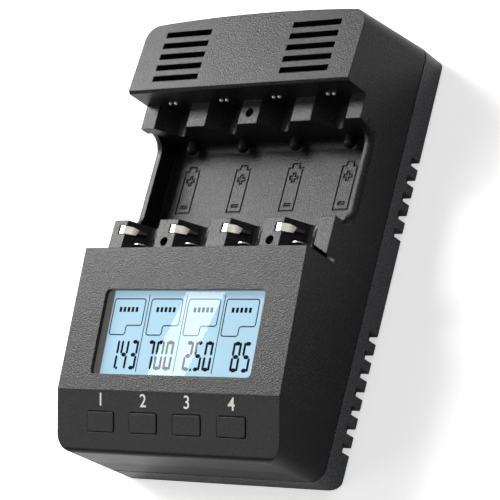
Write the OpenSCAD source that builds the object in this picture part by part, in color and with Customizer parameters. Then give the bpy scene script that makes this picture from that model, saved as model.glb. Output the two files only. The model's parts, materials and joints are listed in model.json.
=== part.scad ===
// Four-bay desktop battery charger lying on its back.
// Millimetres. X is the width, +Y runs to the vent end, -Y to the button end.
// +Z points out of the back up to the face that carries the display.
// The origin is the middle of the flat back, on the surface that it lies on.

/* [Case] */

// Overall width of the case
case_w = 85; // [78:1:92]
// Overall length of the case
case_l = 140; // [134:1:150]
// Radius of the four upright corners
corner_r = 5; // [3:0.5:7]
// Wall thickness of both shells
wall = 2.2; // [1.8:0.1:2.6]
// Height of the joint line between the shells
split_z = 9.4; // [8:0.2:12]
// Height of the shadow groove at the joint line
groove_h = 0.5; // [0.3:0.1:0.8]
// Depth of the shadow groove at the joint line
groove_d = 0.7; // [0.4:0.1:1.2]
// Lean of the vent end above the joint line, degrees
vent_end_lean = 5.5; // [3:0.5:8]
// Lean of the button end, degrees
button_end_lean = 3; // [1:0.5:4]
// Bulge of the vent end across its width
end_bow = 1.3; // [0.8:0.1:2]
// Bevel around the back face
back_bevel = 0.8; // [0.4:0.1:1.2]

/* [Vent head] */

// Position of the overhanging edge above the bays
vent_y = 42.05; // [40:0.25:44]
// Height of the overhanging edge
vent_z = 41.9; // [40:0.1:44]
// Slope of the vent face, degrees
vent_slope = 3.3; // [1:0.1:5]
// Length of one vent slot
slot_w = 18; // [14:0.5:20]
// Height of one vent slot
slot_h = 1.87; // [1.4:0.01:2.2]
// Distance from slot to slot
slot_pitch = 3.83; // [3.4:0.01:4]
// Distance from the overhanging edge to the first slot
slot_first = 3.5; // [2.5:0.1:4]
// Distance of the slot groups from the middle
slot_x = 24.86; // [22:0.1:27]
// Bevel of the overhanging edge
edge_bevel = 0.8; // [0.4:0.1:1.2]

/* [Bays] */

// Width left over beside the four bays
bay_rest = 3.4; // [2:0.1:5]
// Width of the posts between the bays
post_w = 7.25; // [6:0.05:8]
// Height of the top of the posts
post_z = 32.35; // [31:0.05:34]
// Front of the upper posts
trough_y2 = 34.26; // [33:0.1:36]
// Front of the lower posts
trough_y1 = 3.53; // [2.6:0.1:5]
// Height of the floor between the posts
floor_z = 17.2; // [16:0.1:19]
// Distance from the floor's end to the outside of the case
floor_inset = 3.1; // [2.7:0.1:3.9]
// Radius where the floor meets the end walls
floor_r = 2.6; // [1:0.1:4]
// Slope of the cradle walls under a cell, degrees
cradle_slope = 50; // [44:1:52]
// Radius of the cradle bottom
cradle_r = 2.2; // [1.5:0.1:3]
// Height of the rim of the side openings
rim_z = 23.9; // [23:0.1:26]
// Corner radius of the side openings
rim_corner_r = 5; // [3:0.5:6]
// Rounding of the outer edge of the rim
rim_round = 2.2; // [1:0.1:2.6]
// Diameter of the stop pegs in the end wall of the bays
peg_d = 3.6; // [3:0.1:4]
// Height of the pegs' axis above the floor
peg_rise = 3; // [2.8:0.1:3.4]
// How far the pegs stand out of the end wall
peg_l = 3.7; // [2.5:0.1:4.5]
// Depth of the cell symbols in the floor
symbol_depth = 0.3; // [0.2:0.05:0.5]
// Line width of the cell symbols
symbol_line = 0.42; // [0.3:0.01:0.6]

/* [Display] */

// Upper edge of the display face
disp_y = -9.3; // [-10.5:0.1:-8]
// Height of the upper edge of the display face
disp_z = 41.34; // [40:0.1:43]
// Slope of the display face, degrees
disp_slope = 5.7; // [4:0.1:7]
// Length of the display face down to the fold
disp_len = 43.7; // [42:0.1:45]
// Thickness of the wall behind the display face
disp_wall = 2.5; // [2.4:0.1:3]
// Width of the window opening
window_w = 61.3; // [56:0.1:62]
// Length of the window opening
window_l = 25.8; // [24:0.1:27]
// Distance from the upper edge to the window opening
window_s = 13.05; // [12:0.05:14]
// Corner radius of the window opening
window_r = 1.5; // [1:0.1:2.5]
// Depth of the clear window below the face
window_depth = 1.3; // [1:0.1:1.5]
// Hidden margin of the clear window behind the face
window_margin = 1.4; // [1:0.1:1.6]
// Depth of the display board below the face
board_depth = 8.5; // [8.5:0.1:9]

/* [Buttons] */

// Slope of the button face, degrees
btn_slope = 21.7; // [20:0.1:23]
// Wall thickness behind the button face
btn_wall = 2; // [1.8:0.1:2.1]
// Width of one button
btn_w = 10.3; // [9:0.1:11]
// Length of one button
btn_l = 5.7; // [5:0.1:6.2]
// Distance from button to button
btn_pitch = 16.69; // [16:0.01:17.2]
// Place of the buttons down the button face, as a share of its length
btn_share = 0.503; // [0.48:0.001:0.52]
// Clearance around each button in its opening
btn_gap = 0.25; // [0.2:0.01:0.35]
// Height of the buttons above the face
btn_proud = 0.25; // [0.1:0.05:0.4]
// Travel of the buttons, also stated in the joints
btn_travel = 0.5; // [0.5:0.5:0.5]
// Rounding of the front edge below the buttons
front_round = 2; // [1:0.1:2.5]

/* [Side notches] */

// Width of one notch along the side
notch_w = 2.65; // [2.2:0.05:3]
// Distance from notch to notch
notch_pitch = 5.69; // [5.4:0.01:5.8]
// Start of the five upper notches
notch_y1 = 34.3; // [32:0.1:36]
// Start of the seven lower notches
notch_y2 = -21.15; // [-23:0.1:-20]
// Depth of the notches into the back
notch_d = 3.5; // [3.4:0.1:4]
// Height of the notches up the side
notch_z = 5; // [4:0.1:6]

/* [Contacts and boards] */

// Thickness of the contact strips
strip_t = 0.4; // [0.3:0.05:0.5]
// Clearance of strips and wires in the shell
strip_gap = 0.15; // [0.1:0.05:0.2]
// Diameter of the bright tips of the positive contacts
nub_d = 1.2; // [1:0.05:1.4]
// Distance from tip to tip
nub_pitch = 2.2; // [2:0.05:2.6]
// Height of the tips
nub_z = 33.6; // [33:0.1:34.2]
// Position of the long-cell contact leaf
leaf_y = -4.6; // [-5:0.1:-4.2]
// Width of the long-cell contact leaf
leaf_w = 4.6; // [4:0.1:5]
// Height of the top of the long-cell contact leaf
leaf_z = 33; // [32:0.1:34]
// Travel of the long-cell contact, also stated in the joints
leaf_travel = 3; // [3:0.5:3]
// Slope of the short-cell contact strip, degrees
tab_slope = 30; // [26:1:34]
// Travel of the short-cell contact, also stated in the joints
tab_travel = 0.8; // [0.8:0.1:0.8]
// Height of the underside of the main board
pcb_z = 5; // [5:0.1:5.4]
// Thickness of both circuit boards
pcb_t = 1.6; // [1.2:0.1:1.8]

/* [Screws] */

// Diameter of the holes that show in three posts
head_hole_d = 2.8; // [2.6:0.1:3]
// Diameter of the case screw heads
head_d = 2.5; // [2.3:0.1:2.5]
// Diameter of the case screw shanks
shank_d = 1.7; // [1.5:0.1:1.8]
// Height of the seat under the case screw heads
seat_z = 29; // [28:0.1:30]
// Length of the case screw shanks
shank_l = 22; // [20:0.5:23]
// Height where the screw posts of the two shells meet
tower_z = 13; // [12:0.2:14]

/* [Hidden] */

$fn = 64;
eps = 0.01;
half_w = case_w / 2;
half_l = case_l / 2;
bay_pitch = (case_w - bay_rest) / 4;
floor_x = half_w - floor_inset;
bays = [-1.5, -0.5, 0.5, 1.5];
groove_half = (bay_pitch - post_w) / 2;
apex_z = post_z - groove_half * tan(cradle_slope);
cradle_mid_z = apex_z + cradle_r / cos(cradle_slope);
roof_z = apex_z - wall;
fold_y = disp_y - disp_len * cos(disp_slope);
fold_z = disp_z - disp_len * sin(disp_slope);
front_z = fold_z - (half_l + fold_y) * tan(btn_slope);
btn_s = btn_share * (half_l + fold_y) / cos(btn_slope);
vent_in = vent_y + wall;
disp_in = disp_y - wall;
screw_xy = [[0, trough_y2 + 3.68], [-bay_pitch, trough_y1 - 7.2], [bay_pitch, trough_y1 - 7.2]];
board_half_l = half_l - 7;
board_screw_x = half_w - 8.5;
board_screw_at = [[-board_screw_x, 6 - board_half_l], [board_screw_x, 6 - board_half_l],
    [-board_screw_x, vent_y - 12], [board_screw_x, vent_y - 12]];
board_half_w = half_w - wall - 1.3;
disp_screw_x = half_w - 7.9;
disp_board_s = (half_l + disp_y) / cos(disp_slope) - 4.7;
disp_screw_s = [6.6, disp_len + 2.8];
jack_z = 14;

// Plan of the vent end: straight sides, bulging end, round corners.
// Its highest point is at y = 0 and it runs far down past the other end.
module vent_plan(inset = 0) {
    w = half_w - inset;
    r = max(corner_r - inset, 0.4);
    c = w - r;
    big = (37 * 37 + end_bow * end_bow) / (2 * end_bow);
    yc = sqrt(big * big - c * c) - big - inset;
    translate([-w, -case_l - 30])
        square([2 * w, case_l + 30 + yc - r]);
    translate([-c, -case_l - 30])
        square([2 * c, case_l + 30 + yc]);
    for (s = [-1, 1])
        translate([s * c, yc - r])
            circle(r = r);
    intersection() {
        translate([0, -inset - big])
            circle(r = big, $fn = 256);
        translate([-c, yc - 2])
            square([2 * c, 8]);
    }
}

// Plan of the button end, with its lowest point at y = 0.
module button_plan(inset = 0) {
    w = half_w - inset;
    r = max(corner_r - inset, 0.4);
    translate([-w, inset + r])
        square([2 * w, case_l + 30]);
    translate([-w + r, inset])
        square([2 * w - 2 * r, case_l]);
    for (s = [-1, 1])
        translate([s * (w - r), inset + r])
            circle(r = r);
}

// The room inside both leaning ends, above the joint line.
module leaning_body(inset = 0) {
    intersection() {
        translate([0, half_l, split_z])
            rotate([vent_end_lean, 0, 0])
                translate([0, 0, -20])
                    linear_extrude(80)
                        vent_plan(inset);
        button_lean(inset);
    }
}

module button_lean(inset = 0) {
    translate([0, -half_l, front_z])
        rotate([button_end_lean, 0, 0])
            translate([0, 0, -60])
                linear_extrude(100)
                    button_plan(inset);
}

// The room inside the upright walls of the rear shell.
module upright_body(inset = 0) {
    intersection() {
        translate([0, half_l, -20])
            linear_extrude(60)
                vent_plan(inset);
        button_lean(inset);
    }
}

// Extrudes a drawing of Y and Z values across the width.
module across(w) {
    rotate([90, 0, 90])
        translate([0, 0, -w / 2])
            linear_extrude(w)
                children();
}

// Extrudes a drawing of X and Z values along the length, from y1 to y2.
module along(y1, y2) {
    translate([0, y2, 0])
        rotate([90, 0, 0])
            linear_extrude(y2 - y1)
                children();
}

module on_vent() {
    translate([0, vent_y, vent_z])
        rotate([-vent_slope, 0, 0])
            children();
}

module on_display() {
    translate([0, disp_y, disp_z])
        rotate([disp_slope, 0, 0])
            children();
}

module on_buttons() {
    translate([0, fold_y, fold_z])
        rotate([btn_slope, 0, 0])
            children();
}

module round_box(w, l, r) {
    translate([-w / 2 + r, -l / 2])
        square([w - 2 * r, l]);
    translate([-w / 2, -l / 2 + r])
        square([w, l - 2 * r]);
    for (x = [-1, 1])
        for (y = [-1, 1])
            translate([x * (w / 2 - r), y * (l / 2 - r)])
                circle(r = r);
}

// Opening with round lower corners, from y1 to y2 and up from z1.
module u_shape(y1, y2, z1, r) {
    translate([y1, z1 + r])
        square([y2 - y1, 40]);
    translate([y1 + r, z1])
        square([y2 - y1 - 2 * r, 40]);
    translate([y1 + r, z1 + r])
        circle(r = r);
    translate([y2 - r, z1 + r])
        circle(r = r);
}

// Side view of the front shell with its rounded front edge.
module side_view() {
    nb = [-sin(btn_slope), cos(btn_slope)];
    ne = [-cos(button_end_lean), -sin(button_end_lean)];
    mid = [-half_l, front_z] - front_round * (nb + ne) / (1 + nb * ne);
    a = mid + front_round * nb;
    b = mid + front_round * ne;
    far = vent_z - 40 * tan(vent_slope);
    difference() {
        union() {
            polygon([[-80, split_z], [vent_y + 40, split_z], [vent_y + 40, far],
                [vent_y + edge_bevel, vent_z - edge_bevel * tan(vent_slope)],
                [vent_y, vent_z - edge_bevel], [vent_y, post_z], [disp_y, post_z],
                [disp_y, disp_z], [fold_y, fold_z], a, b, [-80, b[1]]]);
            translate(mid)
                circle(r = front_round);
        }
        polygon([[-90, b[1] - 1], b, b + [-0.4, 2], [-90, b[1] + 3]]);
    }
}

// Side view of the hollow inside the front shell.
module hollow_view() {
    t1 = tan(disp_slope);
    t2 = tan(btn_slope);
    z1 = fold_z - disp_wall / cos(disp_slope);
    z2 = fold_z - btn_wall / cos(btn_slope);
    y = fold_y + (z2 - z1) / (t1 - t2);
    top = disp_z - wall * t1 - disp_wall / cos(disp_slope);
    vent_top = vent_z - wall / cos(vent_slope);
    polygon([[-90, split_z - 1], [90, split_z - 1],
        [90, vent_top - (90 - vent_y) * tan(vent_slope)],
        [vent_in, vent_top - wall * tan(vent_slope)], [vent_in, roof_z],
        [trough_y2 + wall, roof_z], [trough_y2 + wall, floor_z - wall],
        [trough_y1 - wall, floor_z - wall], [trough_y1 - wall, roof_z],
        [disp_in, roof_z], [disp_in, top], [y, z1 + (y - fold_y) * t1],
        [-90, z2 - (90 + fold_y) * t2]]);
}

module cradle_view() {
    tx = cradle_r * sin(cradle_slope);
    tz = cradle_mid_z - cradle_r * cos(cradle_slope);
    polygon([[-groove_half, post_z + 12], [-groove_half, post_z], [-tx, tz],
        [tx, tz], [groove_half, post_z], [groove_half, post_z + 12]]);
    translate([0, cradle_mid_z])
        circle(r = cradle_r);
}

// Rounds the outer edge of the rim of one side opening.
module rim_rounding() {
    r = rim_round;
    x = half_w - r;
    y1 = trough_y1 + rim_corner_r;
    y2 = trough_y2 - rim_corner_r;
    zc = rim_z + rim_corner_r;
    difference() {
        translate([x, y1, rim_z - r])
            cube([r + 1, y2 - y1, r + 1]);
        translate([x, y1 - 1, rim_z - r])
            rotate([-90, 0, 0])
                cylinder(r = r, h = y2 - y1 + 2);
    }
    for (e = [[y1, 180], [y2, 270]])
        translate([0, e[0], zc])
            rotate([90, 0, 90])
                rotate([0, 0, e[1]])
                    rotate_extrude(angle = 90)
                        difference() {
                            translate([rim_corner_r - 0.5, x])
                                square([r + 0.5, r + 1]);
                            translate([rim_corner_r + r, x])
                                circle(r = r);
                        }
}

module plus_drawing(size, t) {
    square([size, t], center = true);
    square([t, size], center = true);
}

// Outline of a cell with its plus and minus signs.
module cell_symbol() {
    w = 5.8;
    y1 = 12;
    y2 = 26.4;
    l = symbol_line;
    difference() {
        union() {
            translate([-w / 2, y1])
                square([w, y2 - y1]);
            translate([-1.5, y2 - 1])
                square([3, 2.4]);
        }
        translate([-w / 2 + l, y1 + l])
            square([w - 2 * l, y2 - y1 - 2 * l]);
        translate([-1.5 + l, y2 - 1])
            square([3 - 2 * l, 2.4 - l]);
    }
    translate([0, 23])
        difference() {
            plus_drawing(3.3, 1.3);
            plus_drawing(3.3 - 2 * l * 0.9, 1.3 - 2 * l * 0.9);
        }
    translate([0, 14.2])
        difference() {
            square([2.6, 1.1], center = true);
            square([2.6 - 2 * l * 0.9, 1.1 - 2 * l * 0.9], center = true);
        }
}

module vent_slots() {
    for (s = [-1, 1])
        for (i = [0:4])
            on_vent()
                translate([s * slot_x - slot_w / 2, slot_first + i * slot_pitch, -6])
                    cube([slot_w, slot_h, 10]);
}

// Room for the short-cell contact in the post to the left of one bay.
module short_cell_room() {
    x = -bay_pitch / 2;
    y = -0.78 - strip_gap;
    w = 2.53 + 2 * strip_gap;
    translate([x + 0.8, y, post_z - tab_travel - strip_t - 0.1])
        cube([3.3, w, 10]);
    translate([x + 2.7 - strip_gap, y, split_z - 1])
        cube([strip_t + 2 * strip_gap, w, roof_z - split_z + 12]);
    translate([x + 3.1, 0, post_z])
        rotate([0, tab_slope, 0])
            translate([-1, y, -strip_t - tab_travel - 0.1])
                cube([6, w, 3]);
}

module front_shell() {
    color("#454548")
        difference() {
            union() {
                difference() {
                    intersection() {
                        leaning_body();
                        across(case_w + 10)
                            side_view();
                    }
                    intersection() {
                        leaning_body(wall);
                        across(case_w + 10)
                            hollow_view();
                    }
                    across(case_w + 10)
                        u_shape(trough_y1, trough_y2, rim_z, rim_corner_r);
                    across(2 * floor_x)
                        u_shape(trough_y1, trough_y2, floor_z, floor_r);
                    for (b = bays)
                        translate([b * bay_pitch, 0, 0])
                            along(disp_y, vent_y)
                                cradle_view();
                    rim_rounding();
                    mirror([1, 0, 0])
                        rim_rounding();
                }
                for (b = bays)
                    translate([b * bay_pitch, trough_y2, floor_z + peg_rise])
                        stop_peg();
                for (p = screw_xy)
                    translate([p[0], p[1], tower_z])
                        cylinder(d = 6, h = roof_z - tower_z + 1);
                for (x = [-1, 1])
                    for (s = disp_screw_s)
                        on_display()
                            translate([x * disp_screw_x, -s, -board_depth])
                                cylinder(d = 4.6, h = board_depth - disp_wall + 0.8 * sign(40 - s));
            }
            vent_slots();
            shadow_groove();
            for (b = bays)
                translate([b * bay_pitch, 0, 0]) {
                    short_cell_room();
                    translate([-leaf_w / 2 - 0.3, leaf_y - strip_t / 2 - leaf_travel - 0.3, roof_z - 1])
                        cube([leaf_w + 0.6, strip_t + leaf_travel + 0.6, 8]);
                    for (s = [-1, 1])
                        translate([s * nub_pitch / 2, vent_y - 1, nub_z])
                            rotate([-90, 0, 0])
                                cylinder(d = nub_d + 2 * strip_gap, h = wall + 2, $fn = 32);
                    translate([0, 0, floor_z - symbol_depth])
                        linear_extrude(2)
                            cell_symbol();
                }
            for (p = screw_xy)
                translate([p[0], p[1], 0]) {
                    translate([0, 0, seat_z])
                        cylinder(d = head_hole_d, h = 10, $fn = 32);
                    cylinder(d = shank_d + 0.2, h = seat_z + 1, $fn = 32);
                }
            end_notch();
            mirror([1, 0, 0])
                end_notch();
            on_display()
                window_opening();
            for (x = [-1, 1])
                for (s = disp_screw_s)
                    on_display()
                        translate([x * disp_screw_x, -s, -board_depth - 1])
                            cylinder(d = 1.84, h = 5, $fn = 32);
            for (b = bays)
                on_buttons()
                    translate([b * btn_pitch, -btn_s, -btn_wall - 3])
                        linear_extrude(btn_wall + 5)
                            round_box(btn_w + 2 * btn_gap, btn_l + 2 * btn_gap, 0.8);
            translate([0, half_l - 8, jack_z])
                rotate([-90, 0, 0])
                    cylinder(d = 8, h = 16);
        }
}

// Round-nosed peg that stands out of the end wall below one bay.
module stop_peg() {
    r = peg_d / 2;
    translate([0, r - peg_l, 0])
        rotate([-90, 0, 0])
            cylinder(r = r, h = peg_l - r + wall / 2, $fn = 32);
    translate([0, r - peg_l, 0])
        sphere(r = r, $fn = 32);
}

module shadow_groove() {
    difference() {
        translate([-case_w, -case_l, split_z - 1])
            cube([2 * case_w, 2 * case_l, groove_h + 1]);
        translate([0, 0, -0.5])
            leaning_body(groove_d);
    }
}

// Slanted notch where an end post meets the display housing.
module end_notch() {
    translate([0, disp_y, post_z - 4.3])
        linear_extrude(14)
            polygon([[half_w - 5.6, 0], [half_w + 0.5, 0],
                [half_w + 0.5, 0.8], [half_w - 5.6, 4.1]]);
}

module window_opening() {
    translate([0, -window_s - window_l / 2, -6]) {
        linear_extrude(12)
            round_box(window_w, window_l, window_r);
        linear_extrude(6 - window_depth)
            round_box(window_w + 2 * window_margin + 0.2, window_l + 2 * window_margin + 0.2, window_r + 1);
    }
}

module rear_shell() {
    color("#2b2c2e")
        difference() {
            union() {
                difference() {
                    intersection() {
                        upright_body();
                        back_block();
                    }
                    intersection() {
                        upright_body(wall + 1.1);
                        translate([-case_w, -case_l, wall])
                            cube([2 * case_w, 2 * case_l, 40]);
                    }
                }
                lip();
                for (p = screw_xy)
                    translate([p[0], p[1], 1])
                        cylinder(d = 6, h = tower_z - 1);
                for (p = board_screw_at)
                    translate([p[0], p[1], 1])
                        cylinder(d = 5, h = pcb_z - 1);
            }
            side_notches();
            mirror([1, 0, 0])
                side_notches();
            for (p = screw_xy)
                translate([p[0], p[1], seat_z - shank_l - 0.5])
                    cylinder(d = shank_d + 0.04, h = 20, $fn = 32);
            for (p = board_screw_at)
                translate([p[0], p[1], pcb_z - 2.5])
                    cylinder(d = 1.84, h = 4, $fn = 32);
            translate([-5.2, half_l - 8, pcb_z + pcb_t - 0.3])
                cube([10.4, 8 - wall - 0.2, 10]);
        }
}

// Rear shell block up to the joint line, bevelled round the back face.
module back_block() {
    b = back_bevel;
    w = half_w;
    y1 = -half_l + front_z * tan(button_end_lean);
    intersection() {
        across(case_w + 10)
            polygon([[y1 + b, 0], [half_l - b, 0], [half_l, b], [half_l, split_z],
                [-half_l - 1, split_z], [y1 - 0.2, b]]);
        along(-case_l, case_l)
            polygon([[-w + b, 0], [w - b, 0], [w, b], [w, split_z], [-w, split_z], [-w, b]]);
    }
}

// Inner lip of the rear shell that centres the front shell.
module lip() {
    difference() {
        intersection() {
            upright_body(wall + 0.3);
            translate([-case_w, -case_l, split_z - 0.5])
                cube([2 * case_w, 2 * case_l, 1.9]);
        }
        upright_body(wall + 1.1);
    }
}

module side_notches() {
    for (g = [[notch_y1, 5], [notch_y2, 7]])
        for (i = [0:g[1] - 1])
            translate([half_w - notch_d, g[0] - i * notch_pitch - notch_w, -1])
                cube([notch_d + 1, notch_w, notch_z + 1]);
}

module display_window() {
    color([0.8, 0.86, 0.9, 0.35])
        on_display()
            translate([0, -window_s - window_l / 2, -disp_wall])
                linear_extrude(disp_wall - window_depth)
                    round_box(window_w + 2 * window_margin, window_l + 2 * window_margin, window_r + 1);
}

module display_glass() {
    color("#c5e8fa")
        on_display()
            translate([-33, -window_s - window_l - 1.9, -disp_wall - 1.8])
                cube([66, window_l + 3.8, 1.8]);
}

module display_backlight() {
    color("#e8e8e2")
        on_display()
            translate([-33.4, -window_s - window_l - 2.3, -board_depth])
                cube([66.8, window_l + 4.6, board_depth - disp_wall - 1.8]);
}

module display_board() {
    color("#1d5c3a")
        on_display()
            difference() {
                translate([5.5 - half_w, -disp_board_s, -board_depth - pcb_t])
                    cube([2 * half_w - 11, disp_board_s - 4, pcb_t]);
                for (x = [-1, 1])
                    for (s = disp_screw_s)
                        translate([x * disp_screw_x, -s, -board_depth - pcb_t - 1])
                            cylinder(d = 2.2, h = pcb_t + 2, $fn = 32);
            }
}

// Small plain screw: head below the seat, shank of length l above it.
module screw(head, shank, l, head_h) {
    difference() {
        translate([0, 0, -head_h])
            cylinder(d = head, h = head_h, $fn = 32);
        for (a = [0, 90])
            rotate([0, 0, a])
                translate([-head * 0.36, -head * 0.09, -head_h - 1])
                    cube([head * 0.72, head * 0.18, 1 + head_h * 0.5]);
    }
    translate([0, 0, -eps])
        cylinder(d = shank, h = l + eps, $fn = 32);
}

module display_screws() {
    color("#b0b0b0")
        for (x = [-1, 1])
            for (s = disp_screw_s)
                on_display()
                    translate([x * disp_screw_x, -s, -board_depth - pcb_t])
                        screw(3.6, 1.8, pcb_t + 3.6, 1.4);
}

module main_board() {
    color("#1d5c3a")
        difference() {
            translate([-board_half_w, -board_half_l, pcb_z])
                cube([2 * board_half_w, 2 * board_half_l, pcb_t]);
            for (p = screw_xy)
                translate([p[0], p[1], pcb_z - 1])
                    cylinder(d = 6.8, h = pcb_t + 2);
            for (p = board_screw_at)
                translate([p[0], p[1], pcb_z - 1])
                    cylinder(d = 2.2, h = pcb_t + 2, $fn = 32);
            for (b = bays)
                translate([(b - 0.5) * bay_pitch + 2.7 - strip_gap, -0.78 - strip_gap, pcb_z - 1])
                    cube([strip_t + 2 * strip_gap, 2.53 + 2 * strip_gap, pcb_t + 2]);
        }
}

module main_board_screws() {
    color("#b0b0b0")
        for (p = board_screw_at)
            translate([p[0], p[1], pcb_z + pcb_t])
                mirror([0, 0, 1])
                    screw(3.6, 1.8, pcb_t + 2.3, 1.4);
}

module case_screws() {
    color("#b0b0b0")
        for (p = screw_xy)
            translate([p[0], p[1], seat_z])
                mirror([0, 0, 1])
                    screw(head_d, shank_d, shank_l, 1.4);
}

module button(i) {
    color("#3a3a3c")
        on_buttons()
            translate([bays[i] * btn_pitch, -btn_s, 0]) {
                translate([0, 0, -btn_wall - 0.7])
                    linear_extrude(btn_wall + 0.7 + btn_proud)
                        round_box(btn_w, btn_l, 0.6);
                translate([0, 0, -btn_wall - 0.7])
                    linear_extrude(0.7)
                        round_box(btn_w + 1.7, btn_l + 1.7, 0.8);
                translate([0, 0, -btn_wall - 1.4])
                    cylinder(d = 3, h = 1, $fn = 32);
            }
}

module button_1() {
    button(0);
}

module button_2() {
    button(1);
}

module button_3() {
    button(2);
}

module button_4() {
    button(3);
}

module push_switches() {
    color("#202020")
        for (b = bays)
            on_display()
                translate([b * btn_pitch, -disp_len - 0.783 * btn_s, -board_depth]) {
                    translate([-2.2, -2.2, 0])
                        cube([4.4, 4.4, 1.2]);
                    translate([0, 0, 1])
                        cylinder(d = 2, h = 1, $fn = 32);
                }
}

// Leaf that the end of a long cell pushes back, with a foot on the board.
module long_cell_contact(i) {
    x = bays[i] * bay_pitch;
    r = leaf_w / 2;
    z = pcb_z + pcb_t;
    color("#d8d8d4")
        translate([x, leaf_y, 0]) {
            translate([0, strip_t / 2, 0])
                rotate([90, 0, 0])
                    linear_extrude(strip_t) {
                        translate([-r, z])
                            square([leaf_w, leaf_z - r - z]);
                        translate([0, leaf_z - r])
                            circle(r = r);
                    }
            translate([-r, -strip_t / 2, z])
                cube([leaf_w, 6, strip_t]);
        }
}

module long_cell_contact_1() {
    long_cell_contact(0);
}

module long_cell_contact_2() {
    long_cell_contact(1);
}

module long_cell_contact_3() {
    long_cell_contact(2);
}

module long_cell_contact_4() {
    long_cell_contact(3);
}

// Strip that the end of a short cell rests against; its leg ends below the board.
module short_cell_contact(i) {
    x = (bays[i] - 0.5) * bay_pitch;
    y = -0.78;
    w = 2.53;
    m = y + w / 2;
    color("#e6e2d6")
        translate([x, 0, 0]) {
            translate([1.4, y, post_z - strip_t])
                cube([1.7, w, strip_t]);
            translate([2.7, y, pcb_z - 1.4])
                cube([strip_t, w, post_z - pcb_z + 1.4]);
            translate([3.1, 0, post_z])
                rotate([0, tab_slope, 0]) {
                    translate([0, 0, -strip_t])
                        linear_extrude(strip_t)
                            polygon([[-0.2, y], [3.9, y], [4.7, m + 0.6], [2.4, y + w], [-0.2, y + w]]);
                    translate([4.2, 0, 0])
                        rotate([0, 16, 0])
                            translate([-0.1, 0, -strip_t])
                                linear_extrude(strip_t)
                                    polygon([[0, m - 0.6], [3, m - 0.5], [3, m + 0.4], [0, m + 0.6]]);
                }
        }
}

module short_cell_contact_1() {
    short_cell_contact(0);
}

module short_cell_contact_2() {
    short_cell_contact(1);
}

module short_cell_contact_3() {
    short_cell_contact(2);
}

module short_cell_contact_4() {
    short_cell_contact(3);
}

// Two round tips through the end wall, a plate behind it and a leg to the board.
module positive_contact(i) {
    x = bays[i] * bay_pitch;
    color("#e8e8e8")
        translate([x, 0, 0]) {
            for (s = [-1, 1])
                translate([s * nub_pitch / 2, 0, nub_z]) {
                    translate([0, vent_y - 0.1, 0])
                        rotate([-90, 0, 0])
                            cylinder(d = nub_d, h = wall + 0.2, $fn = 32);
                    translate([0, vent_y - 0.1, 0])
                        sphere(d = nub_d, $fn = 32);
                }
            translate([-3, vent_in, nub_z - 3])
                cube([6, strip_t, 5.4]);
            translate([-1, vent_in, pcb_z + pcb_t])
                cube([2, strip_t, nub_z - pcb_z - pcb_t]);
        }
}

module positive_contact_1() {
    positive_contact(0);
}

module positive_contact_2() {
    positive_contact(1);
}

module positive_contact_3() {
    positive_contact(2);
}

module positive_contact_4() {
    positive_contact(3);
}

module power_socket() {
    z = pcb_z + pcb_t;
    color("#18181a")
        difference() {
            union() {
                translate([-4.5, half_l - 17, z])
                    cube([9, 13.5, jack_z + 4.5 - z]);
                translate([0, half_l - 4, jack_z])
                    rotate([-90, 0, 0])
                        cylinder(d = 7.4, h = 3);
            }
            translate([0, half_l - 11, jack_z])
                rotate([-90, 0, 0])
                    cylinder(d = 5.7, h = 12);
        }
}

module power_socket_pin() {
    color("#d8c070")
        translate([0, half_l - 11, jack_z])
            rotate([-90, 0, 0])
                cylinder(d = 2, h = 8.4, $fn = 32);
}

module capacitors() {
    color("#35355a")
        for (p = [[-bay_pitch, board_half_l - 5], [bay_pitch, board_half_l - 5], [bay_pitch, -40]])
            translate([p[0], p[1], pcb_z + pcb_t])
                cylinder(d = 8, h = 13);
}

module coils() {
    color("#222222")
        for (b = bays)
            translate([b * bay_pitch, vent_y + 7.55, pcb_z + pcb_t]) {
                cylinder(d = 8, h = 1.6);
                translate([0, 0, 1])
                    cylinder(d = 6, h = 5);
                translate([0, 0, 5.4])
                    cylinder(d = 8, h = 1.6);
            }
}

module power_transistors() {
    color("#202022")
        for (b = bays)
            translate([b * bay_pitch - 3.2, trough_y2 - 16, pcb_z + pcb_t])
                cube([6.4, 6, 2.3]);
}

module controller_chip() {
    color("#202022")
        translate([-6, -52, pcb_z + pcb_t])
            cube([12, 12, 1.6]);
}

module link_header() {
    z = pcb_z + pcb_t;
    s = 20;
    y = disp_y - s * cos(disp_slope);
    top = disp_z - s * sin(disp_slope) - (board_depth + pcb_t) / cos(disp_slope);
    color("#18181a")
        across(20)
            polygon([[y - 1.3, z], [y + 1.3, z], [y + 1.3, top + 1.3 * tan(disp_slope) - 0.85],
                [y - 1.3, top - 1.3 * tan(disp_slope) - 0.85]]);
}

front_shell();
rear_shell();
display_window();
display_glass();
display_backlight();
display_board();
display_screws();
main_board();
main_board_screws();
case_screws();
button_1();
button_2();
button_3();
button_4();
push_switches();
long_cell_contact_1();
long_cell_contact_2();
long_cell_contact_3();
long_cell_contact_4();
short_cell_contact_1();
short_cell_contact_2();
short_cell_contact_3();
short_cell_contact_4();
positive_contact_1();
positive_contact_2();
positive_contact_3();
positive_contact_4();
power_socket();
power_socket_pin();
capacitors();
coils();
power_transistors();
controller_chip();
link_header();
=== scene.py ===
"""Battery charger on its back: finishes, display, printed numbers and studio.

Laid out as an add-on: sizes and colours are properties, and each group of
pieces has one operator. Lengths are in metres. What lies on the display face
and the button face is laid out in mm, and display_point and button_point turn
it into places in the frame of the model.
"""

import json
import math

import bmesh
import bpy
import numpy as np
from bpy.props import FloatProperty, FloatVectorProperty, PointerProperty
from mathutils import Matrix, Vector

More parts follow.
